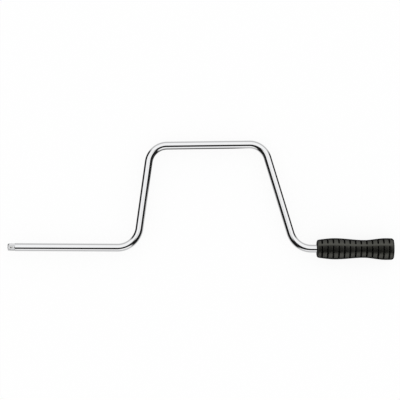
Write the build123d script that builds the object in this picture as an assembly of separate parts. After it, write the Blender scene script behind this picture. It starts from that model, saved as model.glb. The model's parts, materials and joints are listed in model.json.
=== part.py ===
from build123d import *
import os
from math import atan2, radians, sqrt, tan

# A hand crank with a square drive: one steel bar, bent into an open bay, carries a ball detent
# in its square end and a plastic grip that spins on its other end. The grip runs on a turned
# journal, between a shoulder of the bar and a washer held by a retaining ring, and a pressed
# cap closes its end.
#
# Frame: the origin is the centre of the square's tip face. +X runs along the drive axis towards
# the grip, +Y points to the thrown side of the crank, and +Z stands square to the crank's plane,
# out of the face that holds the ball. Sizes are in millimetres and angles in degrees.

# Bent bar, along its centre line
bar_diameter = 7.2
axis_bend_radius = 20.0  # the two bends beside the drive axis
crown_bend_radius = 17.0  # the two bends at the crankpin
shank_straight = 99.2  # from the square's tip to the first bend
drive_throw = 92.45  # height of the corner above the drive-side leg
drive_leg_run = 12.4  # how far that leg leans along X
crankpin_run = 101.9  # along X, between the two upper corners
grip_throw = 94.3  # height of the corner above the grip-side leg
grip_leg_run = 29.4
grip_end_straight = 4.7  # from the last bend to the grip's front face

# Square drive
square_size = 6.35
square_across_corners = 8.2
square_length = 6.15  # from the tip to where the bar's shoulder rises from the flats
tip_bevel = 0.35  # taken off the flats at the tip, and more off the corners
shoulder_length = 0.45  # the shoulder's taper, from the flats to the full bar
corner_run_out = 1.9  # over which the corners die out on the bar
run_out_sink = 0.2  # how deep inside the bar the run-out ends

# Ball detent
ball_diameter = 2.38
ball_from_tip = 3.3
ball_stand = 0.5  # how far the ball stands out of its face, which is also its travel
ball_hole_clearance = 0.035
ball_hole_depth = 4.6
drill_point = 118.0
lip_depth = 0.3  # edge of the hole, staked inwards to hold the ball
lip_gap = 0.03
spring_wire = 0.3
spring_turns = 4
spring_side_gap = 0.08
spring_end_gap = 0.02

# Turned end of the bar, inside the grip
journal_diameter = 6.0
journal_tail = 1.5  # past the retaining ring
bar_seat = 5.7  # length of full bar inside the grip's front
end_bevel = 0.4
running_clearance = 0.05
axial_play = 0.1

# Washer and retaining ring behind the grip's bearing
washer_diameter = 12.0
washer_thickness = 1.0
ring_diameter = 11.3
ring_thickness = 0.7
ring_groove_diameter = 5.0
ring_groove_clearance = 0.04
ring_band = 1.8  # width of the ring's band
ring_lug_width = 1.7
ring_mouth = 4.3

# Grip: stations along it from its front face, and its radius at each
grip_length = 70.2
nose_radius = 7.95
nose_slope = 0.144
nose_rounding = 2.0
belly_from_front = 16.5
belly_radius = 9.6
waist_from_front = 42.8
waist_radius = 8.03
heel_from_end = 7.8
heel_radius = 9.82
rim_slope = -0.05
rim_rounding = 2.2
end_dome = 0.75  # height of the domed end face
bore_countersink = 1.3

# Tapered grooves round the grip, broken by narrow lands and, at the mould's parting, by wide ones
groove_count = 13
groove_width = 1.4  # at the grip's surface
groove_floor = 0.7
groove_depth = 1.5
first_groove = 4.51
last_groove_from_end = 5.09
land_angle = 25.0  # middle of a narrow land, from +Z towards +Y
land_width = 14.0
parting_angle = 92.0  # middle of a wide land
parting_land_width = 42.0

# Cap pressed into the grip's end
cap_thickness = 1.7
seam_groove = 0.25
pocket_diameter = 12.6
pocket_depth = 7.0
cap_spigot_length = 3.0
cap_spigot_wall = 1.3
cap_fit = 0.02

# What a cut is carried past the surface that it opens
cut_margin = 1.0

bar_radius = bar_diameter / 2
journal_radius = journal_diameter / 2
flat = square_size / 2


def allowance(turn):
    """Distance from a corner on the drive axis to the start of its bend."""
    return axis_bend_radius * tan(turn / 2)


drive_leg_turn = atan2(drive_throw, drive_leg_run)
grip_leg_turn = atan2(grip_throw, grip_leg_run)
corner_a = (shank_straight + allowance(drive_leg_turn), 0)
corner_b = (corner_a[0] + drive_leg_run, drive_throw)
corner_c = (corner_b[0] + crankpin_run, grip_throw)
corner_d = (corner_c[0] + grip_leg_run, 0)

# Stations along X inside the grip
grip_front = corner_d[0] + allowance(grip_leg_turn) + grip_end_straight
grip_end = grip_front + grip_length
seam = grip_end - cap_thickness
bar_shoulder = grip_front + bar_seat
pocket_floor = seam - pocket_depth
washer_front = pocket_floor + axial_play
ring_groove_front = washer_front + washer_thickness
ring_groove_back = ring_groove_front + ring_thickness + ring_groove_clearance
journal_end = ring_groove_back + journal_tail


def turned(*profile):
    """Solid turned about the drive axis from (x, radius) points."""
    outline = Polyline((profile[0][0], 0), *profile, (profile[-1][0], 0), close=True)
    return revolve(make_face(outline), axis=Axis.X)


# Detent: the ball's centre, the staked mouth that stops it and the floor of its hole
ball_radius = ball_diameter / 2
ball_z = flat + ball_stand - ball_radius
hole_radius = ball_radius + ball_hole_clearance
hole_floor = flat - ball_hole_depth
mouth_radius = sqrt(ball_radius**2 - (ball_radius - ball_stand) ** 2) + lip_gap


def make_detent_ball():
    """Hardened ball, half a millimetre proud of the square's +Z face."""
    return Pos(ball_from_tip, 0, ball_z) * Sphere(ball_radius)


def make_detent_spring():
    """Compression spring between the hole's floor and the ball."""
    coil_radius = hole_radius - spring_side_gap - spring_wire / 2
    ball_contact = sqrt((ball_radius + spring_wire / 2) ** 2 - coil_radius**2)
    low = hole_floor + spring_wire / 2 + spring_end_gap
    height = ball_z - ball_contact - spring_end_gap - low
    coil = Helix(height / spring_turns, height, coil_radius, center=(ball_from_tip, 0, low))
    wire = Plane(origin=coil @ 0, z_dir=coil % 0) * Circle(spring_wire / 2)
    return sweep(wire, path=coil, is_frenet=True)


def make_ball_hole():
    """Cutter for the blind hole: staked mouth, straight wall and drilled point."""
    point_depth = hole_radius / tan(radians(drill_point / 2))
    outline = Polyline(
        (0, flat + cut_margin),
        (mouth_radius, flat + cut_margin),
        (mouth_radius, flat),
        (hole_radius, flat - lip_depth),
        (hole_radius, hole_floor),
        (0, hole_floor - point_depth),
        close=True,
    )
    return Pos(ball_from_tip, 0, 0) * revolve(Plane.XZ * make_face(outline), axis=Axis.Z)


def make_square_drive():
    """Square with rounded corners, bevelled at its tip and dying out on the bar."""
    corner = square_across_corners / 2
    corner_rounding = (square_size * sqrt(2) - square_across_corners) / (2 * (sqrt(2) - 1))
    # The run-out cone goes on at its own slope until it is well inside the bar
    sunk = bar_radius - run_out_sink
    cone_length = corner_run_out * (corner - sunk) / (corner - bar_radius)
    run_out_end = square_length + cone_length
    section = RectangleRounded(square_size, square_size, corner_rounding)
    blank = extrude(Plane.YZ * section, amount=run_out_end)
    tip_radius = flat - tip_bevel
    envelope = turned(
        (0, tip_radius),
        (corner - tip_radius, corner),
        (square_length, corner),
        (run_out_end, sunk),
    )
    return blank & envelope


def make_crank_bar():
    """The whole bar: square drive, shoulder, four bends and the turned journal."""
    rise = bar_radius - flat
    bar_start = square_length + shoulder_length
    shoulder = turned((square_length - shoulder_length, flat - rise), (bar_start, bar_radius))
    turned_end = bar_shoulder - end_bevel
    centre_line = FilletPolyline(
        (bar_start, 0),
        corner_a,
        corner_b,
        corner_c,
        corner_d,
        (turned_end, 0),
        radius=(axis_bend_radius, crown_bend_radius, crown_bend_radius, axis_bend_radius),
    )
    bent = sweep(Plane.YZ.offset(bar_start) * Circle(bar_radius), path=centre_line)
    groove_floor = ring_groove_diameter / 2
    journal = turned(
        (turned_end, bar_radius),
        (bar_shoulder, bar_radius - end_bevel),
        (bar_shoulder, journal_radius),
        (ring_groove_front, journal_radius),
        (ring_groove_front, groove_floor),
        (ring_groove_back, groove_floor),
        (ring_groove_back, journal_radius),
        (journal_end - end_bevel, journal_radius),
        (journal_end, journal_radius - end_bevel),
    )
    return make_square_drive() + shoulder + bent + journal - make_ball_hole()


# Outline of the grip: (station, radius, slope), with a smooth cubic from each to the next
grip_outline = [
    (0, nose_radius, nose_slope),
    (belly_from_front, belly_radius, 0),
    (waist_from_front, waist_radius, 0),
    (grip_length - heel_from_end, heel_radius, 0),
    (grip_length - end_dome, heel_radius + rim_slope * (heel_from_end - end_dome) / 2, rim_slope),
]


def span_handles(start, end):
    """The four control points of the cubic between two stations of the outline."""
    reach = (end[0] - start[0]) / 3
    return (
        (start[0], start[1]),
        (start[0] + reach, start[1] + reach * start[2]),
        (end[0] - reach, end[1] - reach * end[2]),
        (end[0], end[1]),
    )


def outline_radius(station):
    """Radius of the grip's outline at a distance from its front face."""
    for start, end in zip(grip_outline, grip_outline[1:]):
        if station <= end[0]:
            break
    a, b, c, d = (point[1] for point in span_handles(start, end))
    t = (station - start[0]) / (end[0] - start[0])
    return a * (1 - t) ** 3 + 3 * b * t * (1 - t) ** 2 + 3 * c * t**2 * (1 - t) + d * t**3


def make_grip_blank():
    """Solid of the grip's outer shape, the cap's included."""
    spans = [Bezier(*span_handles(*pair)) for pair in zip(grip_outline, grip_outline[1:])]
    front = Line((0, 0), (0, nose_radius))
    rim = grip_outline[-1]
    dome_radius = (rim[1] ** 2 + end_dome**2) / (2 * end_dome)
    face = RadiusArc((rim[0], rim[1]), (grip_length, 0), dome_radius)
    axis_line = Line((grip_length, 0), (0, 0))
    section = make_face(Curve() + [front, *spans, face, axis_line])
    corners = section.vertices()
    nose_corner = corners.sort_by_distance((0, nose_radius, 0))[0]
    rim_corner = corners.sort_by_distance((rim[0], rim[1], 0))[0]
    section = fillet(nose_corner, nose_rounding)
    section = fillet(section.vertices().sort_by_distance(rim_corner)[0], rim_rounding)
    return Pos(grip_front, 0, 0) * revolve(section, axis=Axis.X)


def make_groove(station, start_angle, end_angle):
    """Cutter for one arc of a groove, its angles counted from +Z towards +Y."""
    x = grip_front + station
    crest = outline_radius(station)
    taper = (groove_width - groove_floor) / 2 / groove_depth
    mouth = groove_width / 2 + taper * cut_margin
    outline = Polyline(
        (x - groove_floor / 2, crest - groove_depth),
        (x - mouth, crest + cut_margin),
        (x + mouth, crest + cut_margin),
        (x + groove_floor / 2, crest - groove_depth),
        close=True,
    )
    arc = revolve(
        Plane.XZ * make_face(outline), axis=Axis.X, revolution_arc=end_angle - start_angle
    )
    return Rotation(-end_angle, 0, 0) * arc


def make_grooves():
    """Cutters for every groove, between the narrow lands and the wide ones at the parting."""
    last_groove = grip_length - last_groove_from_end
    pitch = (last_groove - first_groove) / (groove_count - 1)
    cutters = []
    for index in range(groove_count):
        for half_turn in (0, 180):
            low = parting_angle - 180 + parting_land_width / 2 + half_turn
            high = parting_angle - parting_land_width / 2 + half_turn
            land_low = land_angle - land_width / 2 + half_turn
            land_high = land_angle + land_width / 2 + half_turn
            station = first_groove + index * pitch
            cutters.append(make_groove(station, low, land_low))
            cutters.append(make_groove(station, land_high, high))
    return cutters


def make_bore():
    """Cutter for the grip's stepped bore, from its countersunk mouth to the cap's pocket."""
    mouth = bar_radius + running_clearance
    bearing = journal_radius + running_clearance
    step = bar_shoulder + axial_play
    return turned(
        (grip_front - cut_margin, mouth + bore_countersink + cut_margin),
        (grip_front + bore_countersink, mouth),
        (step, mouth),
        (step, bearing),
        (pocket_floor, bearing),
        (pocket_floor, pocket_diameter / 2),
        (seam + cut_margin, pocket_diameter / 2),
    )


def make_seam_groove():
    """Cutter for the fine V line where the cap meets the grip."""
    crest = outline_radius(seam - grip_front)
    outline = Polyline(
        (seam, crest - seam_groove),
        (seam + seam_groove + cut_margin, crest + cut_margin),
        (seam - seam_groove - cut_margin, crest + cut_margin),
        close=True,
    )
    return revolve(make_face(outline), axis=Axis.X)


def make_slab(start, end):
    """Disc wider than the grip, which keeps the stretch of it from start to end."""
    radius = max(nose_radius, belly_radius, heel_radius) + cut_margin
    return turned((start, radius), (end, radius))


def make_grip():
    """Moulded plastic grip with its grooves, bearing bore and pocket."""
    body = make_grip_blank() & make_slab(grip_front - cut_margin, seam)
    return body - make_bore() - make_seam_groove() - make_grooves()


def make_end_cap():
    """Cap whose hollow spigot is pressed into the grip's pocket."""
    spigot_radius = pocket_diameter / 2 - cap_fit
    spigot = turned((seam - cap_spigot_length, spigot_radius), (seam, spigot_radius))
    hollow_radius = spigot_radius - cap_spigot_wall
    hollow = turned((seam - cap_spigot_length - cut_margin, hollow_radius), (seam, hollow_radius))
    crown = make_grip_blank() & make_slab(seam, grip_end + cut_margin)
    return crown - make_seam_groove() + (spigot - hollow)


def make_thrust_washer():
    """Steel washer that the grip bears on at the back."""
    hole = journal_radius + running_clearance
    section = Circle(washer_diameter / 2) - Circle(hole)
    return extrude(Plane.YZ.offset(washer_front) * section, amount=washer_thickness)


def make_retaining_ring():
    """E-shaped ring snapped into the journal's groove, its mouth to -Y."""
    outer = ring_diameter / 2
    seat = ring_groove_diameter / 2 + running_clearance
    section = Circle(outer) - Circle(outer - ring_band)
    for angle in (0, 120, 240):
        lug = Pos(outer - ring_band, 0) * Rectangle(2 * ring_band, ring_lug_width)
        section += Rotation(0, 0, angle) * lug
    section -= Circle(seat)
    section -= Pos(-outer, 0) * Rectangle(2 * outer, ring_mouth)
    start = ring_groove_front + ring_groove_clearance / 2
    return extrude(Plane.YZ.offset(start) * section, amount=ring_thickness)


nodes = {
    "crank_bar": make_crank_bar(),
    "detent_ball": make_detent_ball(),
    "detent_spring": make_detent_spring(),
    "grip": make_grip(),
    "thrust_washer": make_thrust_washer(),
    "retaining_ring": make_retaining_ring(),
    "end_cap": make_end_cap(),
}
os.makedirs("parts", exist_ok=True)
for node, solid in nodes.items():
    export_step(solid, f"parts/{node}.step")
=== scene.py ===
"""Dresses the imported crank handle: chrome bar, grooved grip, cap, their finishes and a stage.

Everything is in metres, in the frame of the solids: the origin is the centre of the square's tip
face, +X runs along the drive axis to the grip, +Y to the thrown side and +Z out of the ball's face.
"""

import json
from contextlib import contextmanager
from math import atan, atan2, ceil, cos, hypot, pi, radians, sin, sqrt, tan

import bmesh
import bpy
from bpy.props import FloatProperty, FloatVectorProperty, IntProperty, PointerProperty
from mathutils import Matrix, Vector

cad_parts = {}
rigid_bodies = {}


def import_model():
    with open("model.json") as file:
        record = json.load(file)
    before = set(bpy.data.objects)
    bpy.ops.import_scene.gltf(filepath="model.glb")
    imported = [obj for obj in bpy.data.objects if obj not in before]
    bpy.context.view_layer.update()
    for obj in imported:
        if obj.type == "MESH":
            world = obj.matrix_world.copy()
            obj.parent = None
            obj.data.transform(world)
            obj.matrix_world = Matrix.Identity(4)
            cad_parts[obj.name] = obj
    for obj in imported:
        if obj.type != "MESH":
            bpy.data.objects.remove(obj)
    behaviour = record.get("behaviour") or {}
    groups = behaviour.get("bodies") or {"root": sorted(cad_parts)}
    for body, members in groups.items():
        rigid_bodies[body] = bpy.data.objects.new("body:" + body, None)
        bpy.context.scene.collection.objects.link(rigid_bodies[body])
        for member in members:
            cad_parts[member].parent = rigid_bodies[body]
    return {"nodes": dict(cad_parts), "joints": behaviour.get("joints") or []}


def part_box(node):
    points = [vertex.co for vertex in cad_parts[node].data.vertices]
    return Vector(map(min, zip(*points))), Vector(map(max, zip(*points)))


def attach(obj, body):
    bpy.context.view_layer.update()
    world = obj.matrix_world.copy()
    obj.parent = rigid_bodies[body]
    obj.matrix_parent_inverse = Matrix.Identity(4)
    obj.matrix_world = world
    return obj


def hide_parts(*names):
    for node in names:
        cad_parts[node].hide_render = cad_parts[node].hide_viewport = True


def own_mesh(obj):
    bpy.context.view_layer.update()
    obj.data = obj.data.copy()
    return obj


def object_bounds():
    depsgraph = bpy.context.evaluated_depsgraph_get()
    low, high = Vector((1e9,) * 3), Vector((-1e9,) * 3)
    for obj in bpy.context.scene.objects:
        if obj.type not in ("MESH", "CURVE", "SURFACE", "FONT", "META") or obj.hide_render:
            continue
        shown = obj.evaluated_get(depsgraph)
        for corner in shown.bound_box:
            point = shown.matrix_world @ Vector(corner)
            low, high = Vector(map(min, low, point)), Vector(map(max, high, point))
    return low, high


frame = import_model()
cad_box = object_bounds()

bl_info = {
    "name": "Crank Handle",
    "version": (1, 0, 0),
    "blender": (4, 5, 0),
    "location": "View3D > Sidebar > Crank",
    "description": "Models a cranked bar with a square drive and a spinning grip",
    "category": "Object",
}

MM = 0.001
X_AXIS = (1.0, 0.0, 0.0)
MERGE_DISTANCE = 0.001 * MM


def length(name, description, millimetres):
    """A size that a user can change, given in millimetres."""
    return FloatProperty(
        name=name, description=description, default=millimetres * MM, unit="LENGTH", precision=5
    )


def count(name, description, value, least):
    """A whole number that a user can change."""
    return IntProperty(name=name, description=description, default=value, min=least)


def slope(name, description, value):
    """A slope that a user can change, as rise over run."""
    return FloatProperty(name=name, description=description, default=value)


def share(name, description, value):
    """A number from 0 to 1 that a user can change."""
    return FloatProperty(
        name=name, description=description, default=value, min=0, max=1, subtype="FACTOR"
    )


def colour(name, description, value):
    """A linear colour that a user can change."""
    return FloatVectorProperty(
        name=name, description=description, default=value, min=0, max=1, subtype="COLOR"
    )


def level(name, description, value):
    """A brightness that a user can change."""
    return FloatProperty(name=name, description=description, default=value, min=0)


def turn(name, description, value):
    """An angle that a user can change, given in degrees."""
    return FloatProperty(
        name=name, description=description, default=radians(value), unit="ROTATION"
    )


class BarSizes(bpy.types.PropertyGroup):
    """Sizes of the bent bar, its square drive and its turned end"""

    diameter: length("Bar diameter", "Diameter of the bent bar", 7.2)
    axis_bend: length("Axis bend", "Radius of the bends beside the drive axis", 20.0)
    crown_bend: length("Crown bend", "Radius of the bends at the crankpin", 17.0)
    shank: length("Shank", "Straight from the tip to the first bend", 99.2)
    drive_throw: length("Drive throw", "Height of the upper corner on the drive side", 92.45)
    drive_leg_run: length("Drive leg run", "How far the leg on the drive side leans", 12.4)
    crankpin_run: length("Crankpin run", "Distance between the upper corners", 101.9)
    grip_throw: length("Grip throw", "Height of the upper corner on the grip side", 94.3)
    grip_leg_run: length("Grip leg run", "How far the leg on the grip side leans", 29.4)
    square: length("Square", "Width of the drive square across its flats", 6.35)
    across_corners: length("Across corners", "Width of the square across its corners", 8.2)
    square_length: length("Square length", "Tip to the start of the shoulder", 6.15)
    tip_bevel: length("Tip bevel", "Bevel of the square's tip", 0.35)
    shoulder: length("Shoulder", "Length of the taper from the flats to the full bar", 0.45)
    run_out: length("Run-out", "Length over which the corners die out on the bar", 1.9)
    journal: length("Journal", "Diameter of the turned end inside the grip", 6.0)
    ring_groove: length("Ring groove", "Diameter of the groove for the retaining ring", 5.0)
    bar_seat: length("Bar seat", "Length of full bar inside the grip", 5.7)
    end_bevel: length("End bevel", "Bevel of the turned shoulder and end", 0.4)
    around: count("Facets", "Facets round the bar", 96, 24)
    bend_steps: count("Bend steps", "Facets along each bend", 40, 8)


class GripSizes(bpy.types.PropertyGroup):
    """Sizes of the grooved grip and its cap"""

    nose: length("Nose radius", "Radius of the outline at the front face", 7.95)
    nose_slope: slope("Nose slope", "Slope of the outline at the front face", 0.144)
    nose_rounding: length("Nose rounding", "Rounding of the front edge", 2.0)
    belly_station: length("Belly station", "Front face to the belly", 16.5)
    belly: length("Belly radius", "Radius of the belly", 9.6)
    waist_station: length("Waist station", "Front face to the waist", 42.8)
    waist: length("Waist radius", "Radius of the waist", 8.03)
    heel_from_end: length("Heel from end", "Heel to the end of the cap", 7.8)
    rim_slope: slope("Rim slope", "Slope of the outline at the rim", -0.05)
    rim_rounding: length("Rim rounding", "Rounding of the rear edge", 2.2)
    end_dome: length("End dome", "Height of the domed end face", 0.75)
    countersink: length("Countersink", "Depth of the bore's countersunk mouth", 1.3)
    groove_count: count("Grooves", "Grooves along the grip", 13, 2)
    groove_width: length("Groove width", "Width of a groove at the grip's surface", 1.4)
    groove_floor: length("Groove floor", "Width of a groove between its sloping walls' feet", 0.7)
    groove_depth: length("Groove depth", "Depth of a groove", 1.5)
    foot_rounding: length("Foot rounding", "Rounding between a groove's walls and floor", 0.28)
    first_groove: length("First groove", "Front face to the middle of the first groove", 4.51)
    last_groove: length("Last groove", "Middle of the last groove to the end", 5.09)
    edge_rounding: length("Edge rounding", "Rounding of the ribs' edges", 0.2)
    land_angle: turn("Land angle", "Middle of a narrow land, from +Z towards +Y", 25)
    land_width: turn("Land width", "Width of a narrow land", 14)
    parting_angle: turn("Parting angle", "Middle of a wide land", 92)
    parting_width: turn("Parting width", "Width of a wide land", 42)
    seam_groove: length("Seam groove", "Depth of the line between grip and cap", 0.25)
    pocket: length("Pocket", "Diameter of the pocket that the cap is pressed into", 12.6)
    pocket_depth: length("Pocket depth", "Depth of that pocket", 7.0)
    spigot_length: length("Spigot length", "Length of the cap's spigot", 3.0)
    spigot_wall: length("Spigot wall", "Wall of the cap's spigot", 1.3)


class FinishSettings(bpy.types.PropertyGroup):
    """Colours and gloss of the finishes"""

    chrome: colour("Chrome", "Colour of the plated bar", (0.70, 0.703, 0.71))
    steel: colour("Steel", "Colour of the bare steel parts", (0.56, 0.55, 0.53))
    plastic: colour("Plastic", "Colour of the moulded grip", (0.0024, 0.0023, 0.0021))
    chrome_roughness: share("Chrome roughness", "Roughness of the plated bar", 0.05)
    plastic_roughness: share("Plastic roughness", "Roughness of the moulded grip", 0.43)
    grip_gloss: share("Grip gloss", "Strength of the moulded grip's gloss", 0.66)
    # The grooves' lower gloss is painted shade, darkening them beyond the shade that their depth
    # gives
    groove_shade_gloss: share("Groove gloss", "Strength of the gloss inside its grooves", 0.12)


class StageSettings(bpy.types.PropertyGroup):
    """Floor, studio light and camera"""

    floor: colour("Floor", "Colour of the floor", (0.96, 0.96, 0.96))
    floor_glow: share("Floor glow", "How far the floor is lifted to white for the camera", 0.88)
    floor_radius: length("Floor radius", "Radius of the floor", 2500)
    ambient: level("Ambient", "Even light on the object", 1.0)
    back_panel: level("Back panel", "Soft panel on the +Y side", 1.28)
    front_panel: level("Front panel", "Soft panel on the -Y side", 1.3)
    gap_lean: turn("Gap lean", "Lean of the dark gap's back edge towards -Y at its lowest", 15.5)
    gap_dip: share("Gap dip", "Distance from the middle at which the back edge is lowest", 0.35)
    gap_curve: turn("Gap curve", "How fast the back edge rises beside its lowest places", 140)
    gap_rise: turn("Gap rise", "Lean of the back edge towards +Y at its highest", 2)
    gap_reach: turn("Gap reach", "Lean of the gap's front edge towards -Y at its middle", 49)
    gap_slant: turn("Gap slant", "How far the front edge turns towards +Y along X", 26)
    gap_bow: turn("Gap bow", "How far the front edge's ends bow towards -Y", 60)
    gap_level: share("Gap level", "Brightness of the dark gap", 0.015)
    back_spread: turn("Back spread", "How far the back panel spreads to each side of +Y", 54)
    back_edge: share("Back edge", "Height at which the back panel's sides end", 0.362)
    front_spread: turn("Front spread", "How far the front panel spreads to each side of -Y", 30.5)
    panel_turn: turn("Panel turn", "How far both panels are turned towards +X", 5.5)
    panel_tilt: turn("Panel tilt", "How far the back panel is tipped down on its +X side", 4.2)
    edge_softness: share("Edge softness", "Softness of the panels' edges", 0.05)
    mirrored_floor: level("Mirrored floor", "Brightness of the floor in a mirror", 0.82)
    # Darkness of the painted shadow of the crown that mirrors show on the floor
    crown_shade: share("Crown shade", "How dark a mirror shows the floor beside the crown", 0.95)
    horizon: share("Horizon", "Brightness of the room's horizon, beside the floor's", 0.6)
    view_x: length("View X", "Place in the middle of the view, along X", 173.83)
    view_y: length("View Y", "Place in the middle of the view, along Y", 43.57)
    view_width: length("View width", "Width that the camera sees", 362.5)
    lens: FloatProperty(name="Lens", description="Focal length", default=150, min=1, unit="CAMERA")
    roll: turn("Roll", "Turn of the camera about its own axis", 0.3)


# ---------------------------------------------------------------- modelling


@contextmanager
def editing(piece, select="VERT"):
    """Edit mode on one piece, with nothing else selected."""
    pick(piece)
    bpy.ops.object.mode_set(mode="EDIT")
    bpy.ops.mesh.select_mode(type=select)
    yield
    bpy.ops.object.mode_set(mode="OBJECT")


def pick(piece):
    """Selects one object and nothing else."""
    for other in bpy.context.view_layer.objects:
        other.select_set(other == piece)
    bpy.context.view_layer.objects.active = piece


def choose(piece, kind, test):
    """In edit mode, selects only the verts, edges or faces that pass the test."""
    mesh = bmesh.from_edit_mesh(piece.data)
    mesh.normal_update()
    for vert in mesh.verts:
        vert.select_set(False)
    for edge in mesh.edges:
        edge.select_set(False)
    for face in mesh.faces:
        face.select_set(False)
    chosen = [part for part in getattr(mesh, kind) if test(part)]
    for part in chosen:
        part.select_set(True)
    mesh.select_flush(True)
    bmesh.update_edit_mesh(piece.data)


def start_piece(name, add, **place):
    """Adds a primitive at its place, which goes into its mesh, and names it."""
    for other in bpy.context.view_layer.objects:
        other.select_set(False)
    add(**place)
    piece = bpy.context.active_object
    piece.name = piece.data.name = name
    bpy.ops.object.transform_apply(location=True, rotation=True, scale=True)
    return piece


def extrude(move):
    """Extrudes what is selected by a vector."""
    bpy.ops.mesh.extrude_region_move(TRANSFORM_OT_translate={"value": tuple(move)})


def start_chain(name, points):
    """A piece that is one chain of (x, radius) points, drawn above the axis."""
    first, *others = points
    piece = start_piece(
        name, bpy.ops.mesh.primitive_plane_add, size=MM, location=(first[0], 0, first[1])
    )
    with editing(piece):
        bpy.ops.mesh.select_all(action="SELECT")
        bpy.ops.mesh.merge(type="CENTER")
        last = first
        for point in others:
            extrude((point[0] - last[0], 0, point[1] - last[1]))
            last = point
    return piece


def turn_chain(piece, sectors):
    """Spins a chain about the X axis through (angle, steps) sectors, from +Z towards +Y."""
    with editing(piece):
        bpy.ops.mesh.select_all(action="SELECT")
        for angle, steps in sectors:
            bpy.ops.mesh.spin(steps=steps, angle=angle, center=(0, 0, 0), axis=X_AXIS)
        close_up()
    return piece


def close_up():
    """Merges doubled points and turns every face outwards."""
    bpy.ops.mesh.select_all(action="SELECT")
    bpy.ops.mesh.remove_doubles(threshold=MERGE_DISTANCE)
    bpy.ops.mesh.normals_make_consistent(inside=False)


def turned(name, points, steps):
    """A closed solid turned about the X axis from (x, radius) points that start and end on it."""
    return turn_chain(start_chain(name, points), [(2 * pi, steps)])


def apply_modifier(piece, kind, **settings):
    """Adds a modifier, sets it and applies it."""
    pick(piece)
    modifier = piece.modifiers.new(kind.title(), kind)
    for key, value in settings.items():
        setattr(modifier, key, value)
    bpy.ops.object.modifier_apply(modifier=modifier.name)


def combine(piece, tool, operation):
    """Joins, cuts or intersects a piece with a tool, which is used up."""
    apply_modifier(piece, "BOOLEAN", object=tool, operation=operation, solver="EXACT")
    bpy.data.objects.remove(tool)


def shade(piece, angle):
    """Smooth shading, with edges sharper than the angle kept crisp."""
    pick(piece)
    bpy.ops.object.shade_smooth_by_angle(angle=radians(angle))


def rounded(points, radius, facets):
    """Points with the corner at the second one replaced by an arc."""
    before, corner, after = (Vector(point) for point in points[:3])
    back, ahead = (before - corner).normalized(), (after - corner).normalized()
    half = back.angle(ahead) / 2
    centre = corner + (back + ahead).normalized() * radius / sin(half)
    start, end = corner + back * radius / tan(half), corner + ahead * radius / tan(half)
    sweep = (start - centre).angle_signed(end - centre)
    arc = []
    for step in range(facets + 1):
        angle = -sweep * step / facets
        arm = start - centre
        arc.append(
            (
                centre.x + arm.x * cos(angle) - arm.y * sin(angle),
                centre.y + arm.x * sin(angle) + arm.y * cos(angle),
            )
        )
    return points[:1] + arc + points[2:]


# ---------------------------------------------------------------- shader maths


class Value:
    """A socket of a node tree, so that shader maths reads as an expression."""

    def __init__(self, graph, socket):
        self.graph, self.socket = graph, socket

    def maths(self, operation, *others, swap=False):
        """One operation on this value and others, or with swap in the other order."""
        terms = [self, *others][:: -1 if swap else 1]
        return self.graph.node("ShaderNodeMath", {"operation": operation}, dict(enumerate(terms)))

    def __add__(self, other):
        return self.maths("ADD", other)

    def __sub__(self, other):
        return self.maths("SUBTRACT", other)

    def __rsub__(self, other):
        return self.maths("SUBTRACT", other, swap=True)

    def __mul__(self, other):
        return self.maths("MULTIPLY", other)

    def __abs__(self):
        return self.maths("ABSOLUTE")

    __radd__ = __add__
    __rmul__ = __mul__


class Graph:
    """One node tree that is being drawn."""

    def __init__(self, tree):
        self.tree = tree
        tree.nodes.clear()

    def node(self, kind, settings=None, sockets=None, output=0):
        """Adds a node: first its settings, then the values or links of its sockets."""
        made = self.tree.nodes.new(kind)
        for key, value in (settings or {}).items():
            setattr(made, key, value)
        for key, value in (sockets or {}).items():
            socket = self.find(made.inputs, key)
            if isinstance(value, Value):
                self.tree.links.new(value.socket, socket)
            else:
                socket.default_value = value
        return Value(self, self.find(made.outputs, output)) if made.outputs else None

    @staticmethod
    def find(sockets, key):
        """A socket by its number, its identifier or its name."""
        if isinstance(key, int):
            return sockets[key]
        for socket in sockets:
            if socket.identifier == key:
                return socket
        return sockets[key]

    def place(self, scale=(1, 1, 1)):
        """A piece's own coordinates, stretched."""
        own = self.node("ShaderNodeTexCoord", output="Object")
        return self.node("ShaderNodeMapping", {}, {"Vector": own, "Scale": scale}, "Vector")

    def axes(self, vector):
        """The three parts of a vector."""
        parts = self.node("ShaderNodeSeparateXYZ", {}, {"Vector": vector})
        outputs = parts.socket.node.outputs
        return [Value(self, outputs[name]) for name in "XYZ"]

    def angle(self, across, along):
        """Angle of two values' vector from the second value's axis."""
        return self.node("ShaderNodeMath", {"operation": "ARCTAN2"}, {0: across, 1: along})

    def either(self, first, second):
        """The larger of two values."""
        return self.node("ShaderNodeMath", {"operation": "MAXIMUM"}, {0: first, 1: second})

    def rays(self):
        """Whether a ray comes from the camera, and whether from a mirror or glass."""
        camera = self.node("ShaderNodeLightPath", output="Is Camera Ray")
        outputs = camera.socket.node.outputs
        mirrored = Value(self, outputs["Is Glossy Ray"])
        refracted = Value(self, outputs["Is Transmission Ray"])
        return camera, mirrored + refracted

    def noise(self, vector, size, detail):
        """Noise from 0 to 1, with features of a size in metres."""
        sockets = {"Vector": vector, "Scale": 1 / size, "Detail": detail}
        return self.node("ShaderNodeTexNoise", {}, sockets, "Fac")

    def step(self, value, start, end, low=0.0, high=1.0):
        """Runs smoothly from low to high while the value goes from start to end."""
        sockets = {"Value": value, 1: start, 2: end, 3: low, 4: high}
        return self.node(
            "ShaderNodeMapRange", {"interpolation_type": "SMOOTHSTEP"}, sockets, "Result"
        )

    def fade(self, value, start, end, high=1.0):
        """Runs smoothly from high to 0 while the value goes from start to end."""
        return self.step(value, start, end, high, 0.0)

    def mix(self, factor, first, second):
        """Mixes two colours."""
        sockets = {"Factor_Float": factor, "A_Color": first, "B_Color": second}
        return self.node("ShaderNodeMix", {"data_type": "RGBA"}, sockets, "Result_Color")


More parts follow.
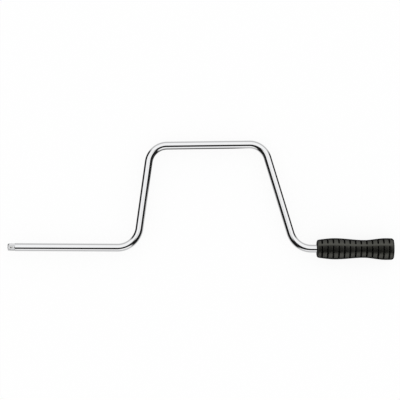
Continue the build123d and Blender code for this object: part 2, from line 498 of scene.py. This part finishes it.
def rgba(tint, factor=1.0):
    """A colour with its alpha, scaled."""
    return (tint[0] * factor, tint[1] * factor, tint[2] * factor, 1.0)


# How far a grained surface turns away, from 0 to 1, while its gloss comes and while it goes,
# and how dull it is where it faces the view
GLOSS_FADES_IN = (0.0, 0.105)
GLOSS_FADES_OUT = (0.28, 0.7)
DULL_AHEAD = 0.78


def new_finish(name, paint, grained=False):
    """A material whose paint function gives the sockets of its shader.

    A grained surface loses its gloss where it turns away, and most of it where it faces the view.
    """
    material = bpy.data.materials.new(name)
    material.use_nodes = True
    graph = Graph(material.node_tree)
    sockets = paint(graph)
    shader = graph.node("ShaderNodeBsdfPrincipled", {}, sockets)
    if grained:
        matt = graph.node("ShaderNodeBsdfDiffuse", {}, {"Color": sockets["Base Color"]})
        away = graph.node("ShaderNodeLayerWeight", {}, {"Blend": 0.5}, "Facing")
        dull = graph.step(away, *GLOSS_FADES_OUT) + graph.fade(away, *GLOSS_FADES_IN, DULL_AHEAD)
        shader = graph.node("ShaderNodeMixShader", {}, {0: dull, 1: shader, 2: matt})
    graph.node("ShaderNodeOutputMaterial", {}, {"Surface": shader})
    return material


def give_finish(piece, material):
    """Makes a material the only one on a piece."""
    piece.data.materials.clear()
    piece.data.materials.append(material)


# ---------------------------------------------------------------- bar

CORNER_FACETS, HOLE_FACETS = 12, 64
# Half the angle of the point that the ball's hole is drilled with
DRILL_POINT = radians(59)


def walk_bar(sizes, start, end):
    """Extrudes the bar's selected end along its centre line, from one station to another."""
    headings = [
        0.0,
        atan2(sizes.drive_throw, sizes.drive_leg_run),
        atan2(sizes.grip_throw - sizes.drive_throw, sizes.crankpin_run),
        atan2(-sizes.grip_throw, sizes.grip_leg_run),
        0.0,
    ]
    radii = (sizes.axis_bend, sizes.crown_bend, sizes.crown_bend, sizes.axis_bend)
    allowances = [
        radius * tan(abs(after - before) / 2)
        for radius, before, after in zip(radii, headings, headings[1:])
    ]
    corner = Vector((sizes.shank + allowances[0], 0, 0))
    corners = [corner]
    for move in (
        (sizes.drive_leg_run, sizes.drive_throw, 0),
        (sizes.crankpin_run, sizes.grip_throw - sizes.drive_throw, 0),
        (sizes.grip_leg_run, -sizes.grip_throw, 0),
    ):
        corner = corner + Vector(move)
        corners.append(corner)
    place = Vector((start, 0, 0))
    for index, corner in enumerate(corners):
        heading, turned_to = headings[index], headings[index + 1]
        ahead = Vector((cos(heading), sin(heading), 0))
        bend_start = corner - ahead * allowances[index]
        extrude(bend_start - place)
        bend = turned_to - heading
        side = 1 if bend > 0 else -1
        centre = bend_start + Vector((-sin(heading), cos(heading), 0)) * radii[index] * side
        bpy.ops.mesh.spin(
            steps=sizes.bend_steps, angle=abs(bend), center=centre, axis=(0, 0, -side)
        )
        place = corner + Vector((cos(turned_to), sin(turned_to), 0)) * allowances[index]
    extrude((end - place.x, 0, 0))


def turn_down(steps):
    """Carries the bar's selected end through (station, radius) steps about the axis."""
    for (x, radius), (next_x, next_radius) in zip(steps, steps[1:]):
        extrude((next_x - x, 0, 0))
        if next_radius != radius:
            factor = next_radius / radius
            bpy.ops.transform.resize(value=(1, factor, factor), center_override=(next_x, 0, 0))


def make_bar(sizes):
    """The bent round bar, from its shoulder to its turned end."""
    radius, flat = sizes.diameter / 2, sizes.square / 2
    first = sizes.square_length - sizes.shoulder
    full = sizes.square_length + sizes.shoulder
    rise = radius - flat
    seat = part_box("grip")[0].x + sizes.bar_seat
    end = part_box("crank_bar")[1].x
    washer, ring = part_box("thrust_washer"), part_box("retaining_ring")
    bar = start_piece(
        "chrome_bar",
        bpy.ops.mesh.primitive_circle_add,
        vertices=sizes.around,
        radius=flat - rise,
        fill_type="NGON",
        location=(first, 0, 0),
        rotation=(0, pi / 2, 0),
    )
    clear_of_corners = 1.5 * sizes.run_out
    collar = full + clear_of_corners
    journal, groove = sizes.journal / 2, sizes.ring_groove / 2
    back = ring[1].x
    with editing(bar, "FACE"):
        bpy.ops.mesh.select_all(action="SELECT")
        turn_down([(first, flat - rise), (full, radius), (collar, radius)])
        walk_bar(sizes, collar, seat - sizes.end_bevel)
        turn_down(
            [
                (seat - sizes.end_bevel, radius),
                (seat, radius - sizes.end_bevel),
                (seat, journal),
                (washer[1].x, journal),
                (washer[1].x, groove),
                (back, groove),
                (back, journal),
                (end - sizes.end_bevel, journal),
                (end, journal - sizes.end_bevel),
            ],
        )
        close_up()
    return bar


def make_square(sizes):
    """The square drive, bevelled at its tip, its corners running out on the bar."""
    flat, corner = sizes.square / 2, sizes.across_corners / 2
    rounding = (sizes.square * sqrt(2) - sizes.across_corners) / (2 * (sqrt(2) - 1))
    radius = sizes.diameter / 2
    below_skin = 0.2 * MM
    sunk = radius - below_skin
    reach = sizes.square_length + sizes.run_out * (corner - sunk) / (corner - radius)
    square = start_piece(
        "square_drive", bpy.ops.mesh.primitive_plane_add, size=sizes.square, rotation=(0, pi / 2, 0)
    )
    with editing(square):
        bpy.ops.mesh.select_all(action="SELECT")
        bpy.ops.mesh.bevel(offset=rounding, segments=CORNER_FACETS, affect="VERTICES")
        bpy.ops.mesh.select_all(action="SELECT")
        extrude((reach, 0, 0))
        close_up()
    tip = flat - sizes.tip_bevel
    outline = [
        (0, 0),
        (0, tip),
        (corner - tip, corner),
        (sizes.square_length, corner),
        (reach, sunk),
        (reach, 0),
    ]
    envelope = turned("envelope", outline, sizes.around)
    combine(square, envelope, "INTERSECT")
    return square


def make_ball_hole(sizes):
    """Cutter for the ball's hole, drawn along X and then stood up along Z."""
    low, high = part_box("detent_ball")
    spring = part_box("detent_spring")[0]
    ball, flat = (high.x - low.x) / 2, sizes.square / 2
    middle = high.z - ball
    mouth_gap, wall_gap, floor_gap, lip = 0.03 * MM, 0.035 * MM, 0.02 * MM, 0.3 * MM
    mouth = sqrt(ball**2 - (flat - middle) ** 2) + mouth_gap
    wall = ball + wall_gap
    floor = spring.z - floor_gap
    outline = [
        (flat + MM, 0),
        (flat + MM, mouth),
        (flat, mouth),
        (flat - lip, wall),
        (floor, wall),
        (floor - wall / tan(DRILL_POINT), 0),
    ]
    hole = turned("ball_hole", outline, HOLE_FACETS)
    pick(hole)
    hole.rotation_euler = (0, -pi / 2, 0)
    hole.location = ((low.x + high.x) / 2, 0, 0)
    bpy.ops.object.transform_apply(location=True, rotation=True, scale=True)
    return hole


class CRANK_OT_bar(bpy.types.Operator):
    """Models the plated bar with its square drive, bends and turned end"""

    bl_idname = "crank.bar"
    bl_label = "Chrome Bar"

    def execute(self, context):
        sizes = context.scene.crank_bar
        bar = make_bar(sizes)
        combine(bar, make_square(sizes), "UNION")
        combine(bar, make_ball_hole(sizes), "DIFFERENCE")
        with editing(bar):
            close_up()
        shade(bar, 12)
        give_finish(bar, chrome_finish(context.scene.crank_finish, sizes))
        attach(bar, "crank")
        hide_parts("crank_bar")
        return {"FINISHED"}


# ---------------------------------------------------------------- grip

NOSE_FACETS, RIM_FACETS, DOME_FACETS, CAP_FACETS = 8, 16, 8, 160
# Stations between the rounded front edge and the first groove
NOSE_STATIONS = (2.2 * MM, 3.3 * MM)
# Facets along a quarter of a groove's round end, and the turn of each
END_FACETS = 3
END_TURN = pi / (2 * END_FACETS)
# Facets round a groove's foot, and round its rim
FOOT_FACETS, GROOVE_RIM_FACETS = 3, 3
# The widest facet round the grip, and the cell at each end of a groove
FACET_TURN = radians(3)
END_CELL = radians(7.5)
# How far the grip's last station stays from the line at the seam
SEAM_CLEAR = 0.1 * MM


class GripOutline:
    """The grip's outline: cubics between its stations, measured from its front face."""

    def __init__(self, sizes):
        self.sizes = sizes
        self.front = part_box("grip")[0].x
        self.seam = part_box("grip")[1].x
        self.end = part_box("end_cap")[1].x
        self.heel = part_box("grip")[1].z
        whole = self.end - self.front
        rim = whole - sizes.end_dome
        rim_radius = self.heel + sizes.rim_slope * (sizes.heel_from_end - sizes.end_dome) / 2
        self.stations = [
            (0, sizes.nose, sizes.nose_slope),
            (sizes.belly_station, sizes.belly, 0),
            (sizes.waist_station, sizes.waist, 0),
            (whole - sizes.heel_from_end, self.heel, 0),
            (rim, rim_radius, sizes.rim_slope),
        ]
        dome = (rim_radius**2 + sizes.end_dome**2) / (2 * sizes.end_dome)
        face = [
            (self.end - dome + sqrt(dome**2 - part**2), part)
            for part in (rim_radius * step / DOME_FACETS for step in range(DOME_FACETS, -1, -1))
        ]
        before = self.front + rim - sizes.rim_rounding
        edge = [(before, self.skin(before)), *face]
        self.rear = rounded(edge, sizes.rim_rounding, RIM_FACETS)[1:]

    def skin(self, x):
        """Radius of the outline at a place on the X axis, before its rear edge is rounded."""
        station = x - self.front
        for start, end in zip(self.stations, self.stations[1:]):
            if station <= end[0]:
                break
        span = end[0] - start[0]
        t = (station - start[0]) / span
        a, d = start[1], end[1]
        b, c = a + start[2] * span / 3, d - end[2] * span / 3
        return a * (1 - t) ** 3 + 3 * b * t * (1 - t) ** 2 + 3 * c * t**2 * (1 - t) + d * t**3

    def radius(self, x):
        """Radius of the outline at a place on the X axis."""
        for start, end in zip(self.rear, self.rear[1:]):
            if start[0] <= x <= end[0]:
                return start[1] + (end[1] - start[1]) * (x - start[0]) / (end[0] - start[0])
        return self.skin(x)

    def grooves(self):
        """Middles of the grooves on the X axis."""
        sizes = self.sizes
        first = self.front + sizes.first_groove
        last = self.end - sizes.last_groove
        spaces = sizes.groove_count - 1
        return [first + (last - first) * index / spaces for index in range(spaces + 1)]

    def places(self):
        """Stations of the ribs and, closer together, across the grooves, from nose to seam."""
        half = self.sizes.groove_width / 2
        middles = self.grooves()
        reaches = [half * sin(END_TURN * part) for part in range(-END_FACETS, END_FACETS + 1)]
        across = [middle + reach for middle in middles for reach in reaches]
        walls = [middle + side * half for middle in middles for side in (-1, 1)]
        ribs = [
            low + (high - low) * part / 3
            for low, high in zip(walls[1::2], walls[2::2])
            for part in (1, 2)
        ]
        nose = [self.front + station for station in NOSE_STATIONS]
        edge = self.seam - self.sizes.seam_groove
        rear = [x for x, _ in self.rear if x < edge - SEAM_CLEAR]
        return sorted(nose + across + ribs + rear)


def grip_chain(outline, sizes, bar):
    """Closed section of the grip: outline, seam, pocket, bearing and countersunk mouth."""
    front, seam = outline.front, outline.seam
    running_gap, shoulder_gap = 0.05 * MM, 0.1 * MM
    mouth = bar.diameter / 2 + running_gap
    bearing = bar.journal / 2 + running_gap
    step = front + bar.bar_seat + shoulder_gap
    pocket, floor = sizes.pocket / 2, seam - sizes.pocket_depth
    crest = outline.radius(seam)
    skin = [(x, outline.radius(x)) for x in outline.places()]
    shell = [(front, mouth + sizes.countersink), (front, sizes.nose), *skin]
    shell = rounded(shell, sizes.nose_rounding, NOSE_FACETS)
    return shell + [
        (seam - sizes.seam_groove, outline.radius(seam - sizes.seam_groove)),
        (seam, crest - sizes.seam_groove),
        (seam, pocket),
        (floor, pocket),
        (floor, bearing),
        (step, bearing),
        (step, mouth),
        (front + sizes.countersink, mouth),
        (front, mouth + sizes.countersink),
    ]


def groove_sectors(sizes):
    """(angle, steps) sectors of half a turn, and the arcs in it that the grooves take up."""
    land_low = sizes.land_angle - sizes.land_width / 2
    land_high = sizes.land_angle + sizes.land_width / 2
    low = sizes.parting_angle - pi + sizes.parting_width / 2
    high = sizes.parting_angle - sizes.parting_width / 2
    arcs = [(low, land_low), (land_high, high)]
    sectors = []
    for (start, end), land in zip(arcs, (sizes.land_width, sizes.parting_width)):
        middle = end - start - 2 * END_CELL
        sectors += [(END_CELL, 1), (middle, ceil(middle / FACET_TURN)), (END_CELL, 1)]
        sectors.append((land, ceil(land / FACET_TURN)))
    return sectors, arcs


def angle_of(point):
    """Angle of a point about the X axis, from +Z towards +Y."""
    return atan2(point.y, point.z)


def in_arcs(point, arcs):
    """Whether a point lies well inside one of the arcs, or half a turn from one."""
    margin = radians(1.3)
    for low, high in arcs:
        if margin < (angle_of(point) - low) % pi < high - low - margin:
            return True
    return False


def round_groove_ends(grip, outline, sizes, arcs):
    """Turns the square ends of every groove's outline into half circles."""
    half = sizes.groove_width / 2
    middles = outline.grooves()
    mean = sum(outline.radius(middle) for middle in middles) / len(middles)
    angle_slack, reach_slack = radians(0.1), 0.02
    for ends, side in (([arc[0] for arc in arcs], 1), ([arc[1] for arc in arcs], -1)):
        for part in range(1, END_FACETS + 1):
            reach = half * sin(END_TURN * part)
            shift = half * (1 - cos(END_TURN * part)) / mean * side

            def at_end(vert):
                aside = abs(min((vert.co.x - middle for middle in middles), key=abs))
                off = min(abs((angle_of(vert.co) - end + pi / 2) % pi - pi / 2) for end in ends)
                skin = hypot(vert.co.y, vert.co.z) > outline.radius(vert.co.x) - sizes.groove_depth
                return skin and off < angle_slack and abs(aside - reach) < half * reach_slack

            choose(grip, "verts", at_end)
            bpy.ops.transform.rotate(
                value=shift, orient_axis="X", center_override=(outline.front, 0, 0)
            )


def groove_section(sizes):
    """(half width, depth) steps down a groove's sloping wall and round its foot."""
    half, floor, foot = sizes.groove_width / 2, sizes.groove_floor / 2, sizes.foot_rounding
    lean = atan((half - floor) / sizes.groove_depth)
    middle = floor - foot * tan((pi / 2 - lean) / 2)
    steps = [(half, 0.0)]
    for part in range(FOOT_FACETS, -1, -1):
        angle = (pi / 2 - lean) * part / FOOT_FACETS
        steps.append((middle + foot * sin(angle), sizes.groove_depth - foot * (1 - cos(angle))))
    return steps


def cut_grooves(grip, outline, sizes, arcs):
    """Rounds the ends of every groove, sinks it into the grip and rounds its rim."""
    half = sizes.groove_width / 2
    middles = outline.grooves()

    def over(point):
        return hypot(point.y, point.z) - outline.radius(point.x)

    bpy.ops.mesh.select_mode(type="VERT")
    round_groove_ends(grip, outline, sizes, arcs)
    bpy.ops.mesh.select_mode(type="FACE")
    section = groove_section(sizes)
    for middle in middles:

        def on_floor(face):
            centre = face.calc_center_median()
            near = abs(centre.x - middle) < half and abs(over(centre)) < sizes.groove_depth / 4
            return near and in_arcs(centre, arcs)

        choose(grip, "faces", on_floor)
        crest = outline.radius(middle)
        for (width, depth), (next_width, next_depth) in zip(section, section[1:]):
            factor = (crest - next_depth) / (crest - depth)
            extrude((0, 0, 0))
            bpy.ops.transform.resize(
                value=(next_width / width, factor, factor), center_override=(middle, 0, 0)
            )

    sharp, skin, reach = radians(40), sizes.groove_depth / 20, half * 1.01

    def on_rim(edge):
        if len(edge.link_faces) != 2 or edge.calc_face_angle() < sharp:
            return False
        return all(
            abs(over(vert.co)) < skin
            and min(abs(vert.co.x - middle) for middle in middles) < reach
            for vert in edge.verts
        )

    bpy.ops.mesh.select_mode(type="EDGE")
    choose(grip, "edges", on_rim)
    bpy.ops.mesh.bevel(offset=sizes.edge_rounding, segments=GROOVE_RIM_FACETS, affect="EDGES")


def in_groove(face, outline, sizes):
    """Whether a face lies on a groove's wall or floor."""
    centre = face.calc_center_median()
    aside = min(abs(centre.x - middle) for middle in outline.grooves())
    sunk = outline.radius(centre.x) - hypot(centre.y, centre.z)
    below_rim, below_floor = sizes.edge_rounding / 2, 1.1 * sizes.groove_depth
    return aside < sizes.groove_width / 2 and below_rim < sunk < below_floor


class CRANK_OT_grip(bpy.types.Operator):
    """Models the moulded grip with its broken grooves, bearing bore and pocket"""

    bl_idname = "crank.grip"
    bl_label = "Grip"

    def execute(self, context):
        sizes, bar = context.scene.crank_grip, context.scene.crank_bar
        outline = GripOutline(sizes)
        grip = start_chain("grip_body", grip_chain(outline, sizes, bar))
        sectors, arcs = groove_sectors(sizes)
        pick(grip)
        grip.rotation_euler = (-arcs[0][0], 0, 0)
        bpy.ops.object.transform_apply(location=True, rotation=True, scale=True)
        turn_chain(grip, sectors * 2)
        with editing(grip, "FACE"):
            cut_grooves(grip, outline, sizes, arcs)
        shade(grip, 35)
        finish = context.scene.crank_finish
        give_finish(grip, plastic_finish("grip_plastic", finish, sizes, finish.grip_gloss))
        # The grooves' walls and floors get a less glossy copy of the plastic: painted shade that
        # darkens the grooves beyond what their depth shades
        grooves = plastic_finish("grip_groove", finish, sizes, finish.groove_shade_gloss)
        grip.data.materials.append(grooves)
        with editing(grip, "FACE"):
            choose(grip, "faces", lambda face: in_groove(face, outline, sizes))
            grip.active_material_index = 1
            bpy.ops.object.material_slot_assign()
        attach(grip, "grip_body")
        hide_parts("grip")
        return {"FINISHED"}


class CRANK_OT_cap(bpy.types.Operator):
    """Models the cap with its domed face and hollow spigot"""

    bl_idname = "crank.cap"
    bl_label = "End Cap"

    def execute(self, context):
        sizes = context.scene.crank_grip
        outline = GripOutline(sizes)
        seam = outline.seam
        press_gap, edge_clear = 0.02 * MM, 0.05 * MM
        spigot = sizes.pocket / 2 - press_gap
        hollow = spigot - sizes.spigot_wall
        back, edge = seam - sizes.spigot_length, seam + sizes.seam_groove
        points = [
            (seam, 0),
            (seam, hollow),
            (back, hollow),
            (back, spigot),
            (seam, spigot),
            (seam, outline.radius(seam) - sizes.seam_groove),
            (edge, outline.radius(edge)),
            *(point for point in outline.rear if point[0] > edge + edge_clear),
        ]
        cap = turned("grip_cap", points, CAP_FACETS)
        shade(cap, 35)
        finish = context.scene.crank_finish
        give_finish(cap, plastic_finish("cap_plastic", finish, sizes, finish.grip_gloss))
        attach(cap, "grip_body")
        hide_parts("end_cap")
        return {"FINISHED"}


# ---------------------------------------------------------------- finishes

PLASTIC_IOR = 1.6
GLOSS_TINT = (1.0, 1.0, 0.88)


def chrome_finish(finish, sizes):
    """Bright plating with faint polishing marks, and a satin, mottled square."""

    def paint(graph):
        place = graph.place()
        x, _, _ = graph.axes(place)
        satin_end = sizes.square_length + 0.4 * MM
        bright_start = sizes.square_length + 0.9 * MM
        square = graph.fade(x, satin_end, bright_start)
        cloud = graph.noise(place, 18 * MM, detail=3.0)
        mottle = graph.noise(place, 0.9 * MM, detail=2.0)
        marks = graph.noise(graph.place(scale=(1, 6, 6)), 1.5 * MM, detail=3.0)
        bright = 0.97 + 0.03 * cloud - square * (mottle * 0.18)
        tint = graph.mix(bright, (0, 0, 0, 1), rgba(finish.chrome))
        roughness = finish.chrome_roughness * (0.8 + 0.4 * marks) + square * (0.16 + 0.1 * mottle)
        bump = graph.node(
            "ShaderNodeBump",
            {},
            {"Height": mottle * square + marks * 0.02, "Distance": 0.06 * MM, "Strength": 0.25},
        )
        return {"Base Color": tint, "Metallic": 1.0, "Roughness": roughness, "Normal": bump}

    return new_finish("chrome_bar", paint)


def plastic_finish(name, finish, sizes, gloss):
    """Black moulded plastic with a fine grain and a faint parting line."""

    def paint(graph):
        place = graph.place()
        _, y, z = graph.axes(place)
        grain = graph.noise(place, 0.45 * MM, detail=3.0)
        cloud = graph.noise(place, 9 * MM, detail=3.0)
        across = y * cos(sizes.parting_angle) - z * sin(sizes.parting_angle)
        line = graph.fade(abs(across), 0.06 * MM, 0.14 * MM)
        tint = graph.mix(0.8 + 0.3 * cloud + 0.1 * grain, (0, 0, 0, 1), rgba(finish.plastic))
        roughness = finish.plastic_roughness + 0.12 * (cloud - 0.5) + 0.1 * (grain - 0.5)
        bump = graph.node(
            "ShaderNodeBump",
            {},
            {"Height": grain + line * 0.8, "Distance": 0.05 * MM, "Strength": 0.35},
        )
        return {
            "Base Color": tint,
            "Roughness": roughness,
            "Normal": bump,
            "IOR": PLASTIC_IOR,
            "Specular IOR Level": gloss,
            "Specular Tint": rgba(GLOSS_TINT),
        }

    return new_finish(name, paint, grained=True)


def steel_finish(name, finish, bright, roughness):
    """Bare steel with fine machining marks."""

    def paint(graph):
        place = graph.place()
        marks = graph.noise(graph.place(scale=(5, 1, 1)), 0.5 * MM, detail=3.0)
        cloud = graph.noise(place, 3 * MM, detail=2.0)
        tint = graph.mix(0.85 + 0.15 * cloud, (0, 0, 0, 1), rgba(finish.steel, bright))
        bump = graph.node(
            "ShaderNodeBump", {}, {"Height": marks, "Distance": 0.02 * MM, "Strength": 0.2}
        )
        rough = roughness * (0.8 + 0.4 * marks)
        return {"Base Color": tint, "Metallic": 1.0, "Roughness": rough, "Normal": bump}

    return new_finish(name, paint)


class CRANK_OT_steel_parts(bpy.types.Operator):
    """Finishes the ball, spring, washer and retaining ring"""

    bl_idname = "crank.steel_parts"
    bl_label = "Steel Parts"

    def execute(self, context):
        finish = context.scene.crank_finish
        for node, bright, roughness in (
            ("detent_ball", 1.3, 0.12),
            ("detent_spring", 0.8, 0.3),
            ("thrust_washer", 1.0, 0.3),
            ("retaining_ring", 0.7, 0.35),
        ):
            steel = steel_finish(node + "_steel", finish, bright, roughness)
            give_finish(frame["nodes"][node], steel)
        press = next(joint for joint in frame["joints"] if joint["name"] == "detent_press")
        low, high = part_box("detent_spring")
        keep = 1 - press["range_m"][1] / (high.z - low.z)
        spring = frame["nodes"]["detent_spring"]
        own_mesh(spring)
        return {"FINISHED"}


# ---------------------------------------------------------------- stage

# The crown's shadow on the floor, painted as a dark patch that only mirrors show: its middle on X,
# where it fades out on each side of that, and where it fades in and out on Y
CROWN_MIDDLE = 174 * MM
CROWN_END = (28 * MM, 46 * MM)
CROWN_INSIDE = (35 * MM, 64 * MM)
CROWN_OUTSIDE = (86 * MM, 92 * MM)
# Heights, from -1 to 1, below which the room beside a panel is bright again
BACK_FOOT, FRONT_FOOT = -0.8, -0.28
# Softness of the panels' sides
BACK_SOFTNESS, FRONT_SOFTNESS = 0.15, 0.1
# Heights between which the horizon fades in and out
HORIZON_START, HORIZON_END = (-0.35, -0.1), (0.05, 0.3)


def make_floor(stage):
    """A round white floor, open to a view from below, with a painted shadow beside the crown that
    only mirrors show.
    """
    low, high = cad_box
    floor = start_piece(
        "floor",
        bpy.ops.mesh.primitive_circle_add,
        vertices=128,
        radius=stage.floor_radius,
        fill_type="NGON",
        location=((low.x + high.x) / 2, (low.y + high.y) / 2, low.z),
    )
    material = bpy.data.materials.new("floor")
    material.use_nodes = True
    graph = Graph(material.node_tree)
    rays, mirrored = graph.rays()
    paper = graph.node("ShaderNodeBsdfDiffuse", {}, {"Color": rgba(stage.floor)})
    glow = graph.node("ShaderNodeEmission", {}, {"Color": (1, 1, 1, 1), "Strength": 1.0})
    lit = graph.node("ShaderNodeMixShader", {}, {0: rays * stage.floor_glow, 1: paper, 2: glow})
    below = graph.node("ShaderNodeNewGeometry", output="Backfacing")
    clear = graph.node("ShaderNodeBsdfTransparent")
    # Painted shadow: a dark patch beside the crown, seen only in mirrors, stands for the crank's
    # own shadow on the floor
    x, y, _ = graph.axes(graph.node("ShaderNodeTexCoord", output="Object"))
    along = graph.fade(abs(x - CROWN_MIDDLE), *CROWN_END)
    beside = graph.step(y, *CROWN_INSIDE) * graph.fade(y, *CROWN_OUTSIDE)
    painted_crown_shadow = along * beside * mirrored * stage.crown_shade
    dark = graph.node("ShaderNodeEmission", {}, {"Strength": 0.0})
    open_floor = graph.node("ShaderNodeMixShader", {}, {0: painted_crown_shadow, 1: clear, 2: dark})
    hidden = graph.either(below, mirrored)
    surface = graph.node("ShaderNodeMixShader", {}, {0: hidden, 1: lit, 2: open_floor})
    graph.node("ShaderNodeOutputMaterial", {}, {"Surface": surface})
    give_finish(floor, material)
    return floor


def make_light(stage):
    """A white room with two soft panels overhead, dark between them and past their sides."""
    world = bpy.data.worlds.new("studio")
    bpy.context.scene.world = world
    world.use_nodes = True
    graph = Graph(world.node_tree)
    soft = stage.edge_softness

    def past(value, edge, width=soft):
        """1 where a value is above an edge, softly 0 below it."""
        return graph.step(value, edge - width, edge + width)

    x, y, z = graph.axes(graph.node("ShaderNodeTexCoord", output="Generated"))
    lean = graph.angle(y, z)
    from_dip = abs(x) - stage.gap_dip
    dipped = stage.gap_lean - from_dip * from_dip * stage.gap_curve
    back_lean = 0 - graph.either(dipped, -stage.gap_rise)
    front_lean = x * stage.gap_slant - x * x * stage.gap_bow - stage.gap_reach
    spread = graph.angle(abs(x), abs(y)) - x * stage.panel_turn
    above = past(z, 0)
    back = past(lean, -stage.gap_reach)
    gap = past(lean - front_lean, 0) * (1 - past(lean - back_lean, 0)) * above
    back_end = 1 - past(z + x * stage.panel_tilt, stage.back_edge)
    beside_back = past(spread, stage.back_spread, BACK_SOFTNESS) * back_end * past(z, BACK_FOOT)
    beside_front = past(spread, stage.front_spread, FRONT_SOFTNESS) * past(z, FRONT_FOOT)
    dark = graph.either(gap, back * beside_back + (1 - back) * beside_front)
    panels = back * stage.back_panel + (1 - back) * stage.front_panel
    horizon = graph.step(z, *HORIZON_START) * graph.fade(z, *HORIZON_END)
    even = above * panels + (1 - above) * stage.mirrored_floor
    room = even * (1 - horizon * (1 - stage.horizon))
    rays, mirrored = graph.rays()
    seen = room * (1 - dark) + dark * stage.gap_level
    strength = rays + mirrored * seen + (1 - rays - mirrored) * stage.ambient
    sockets = {"Color": (1, 1, 1, 1), "Strength": strength}
    background = graph.node("ShaderNodeBackground", {}, sockets)
    graph.node("ShaderNodeOutputWorld", {}, {"Surface": background})


def make_camera(stage):
    """A long lens that looks straight down on the crank's plane."""
    camera = bpy.data.objects.new("camera", bpy.data.cameras.new("camera"))
    bpy.context.scene.collection.objects.link(camera)
    camera.data.lens = stage.lens
    height = stage.view_width * stage.lens / camera.data.sensor_width
    camera.location = (stage.view_x, stage.view_y, height)
    camera.rotation_euler = (0, 0, stage.roll)
    bpy.context.scene.camera = camera


class CRANK_OT_stage(bpy.types.Operator):
    """Adds the floor, the studio light and the camera"""

    bl_idname = "crank.stage"
    bl_label = "Stage"

    def execute(self, context):
        stage = context.scene.crank_stage
        make_camera(stage)
        make_floor(stage)
        make_light(stage)
        context.scene.view_settings.view_transform = "Standard"
        return {"FINISHED"}


# ---------------------------------------------------------------- add-on


class VIEW3D_PT_crank(bpy.types.Panel):
    """Lists the crank's operators and sizes"""

    bl_label = "Crank Handle"
    bl_space_type = "VIEW_3D"
    bl_region_type = "UI"
    bl_category = "Crank"

    def draw(self, context):
        for operator in OPERATORS:
            self.layout.operator(operator.bl_idname)
        for name, group in GROUPS.items():
            box = self.layout.box()
            for key in group.__annotations__:
                box.prop(getattr(context.scene, name), key)


GROUPS = {
    "crank_bar": BarSizes,
    "crank_grip": GripSizes,
    "crank_finish": FinishSettings,
    "crank_stage": StageSettings,
}
OPERATORS = (CRANK_OT_stage, CRANK_OT_bar, CRANK_OT_grip, CRANK_OT_cap, CRANK_OT_steel_parts)


def register():
    for kind in (*GROUPS.values(), *OPERATORS, VIEW3D_PT_crank):
        bpy.utils.register_class(kind)
    for name, group in GROUPS.items():
        setattr(bpy.types.Scene, name, PointerProperty(type=group))


def unregister():
    for name in GROUPS:
        delattr(bpy.types.Scene, name)
    for kind in (VIEW3D_PT_crank, *reversed(OPERATORS), *reversed(GROUPS.values())):
        bpy.utils.unregister_class(kind)


def main():
    """Makes every piece in turn."""
    register()
    for operator in OPERATORS:
        group, name = operator.bl_idname.split(".")
        getattr(getattr(bpy.ops, group), name)()


if __name__ == "__main__":
    main()
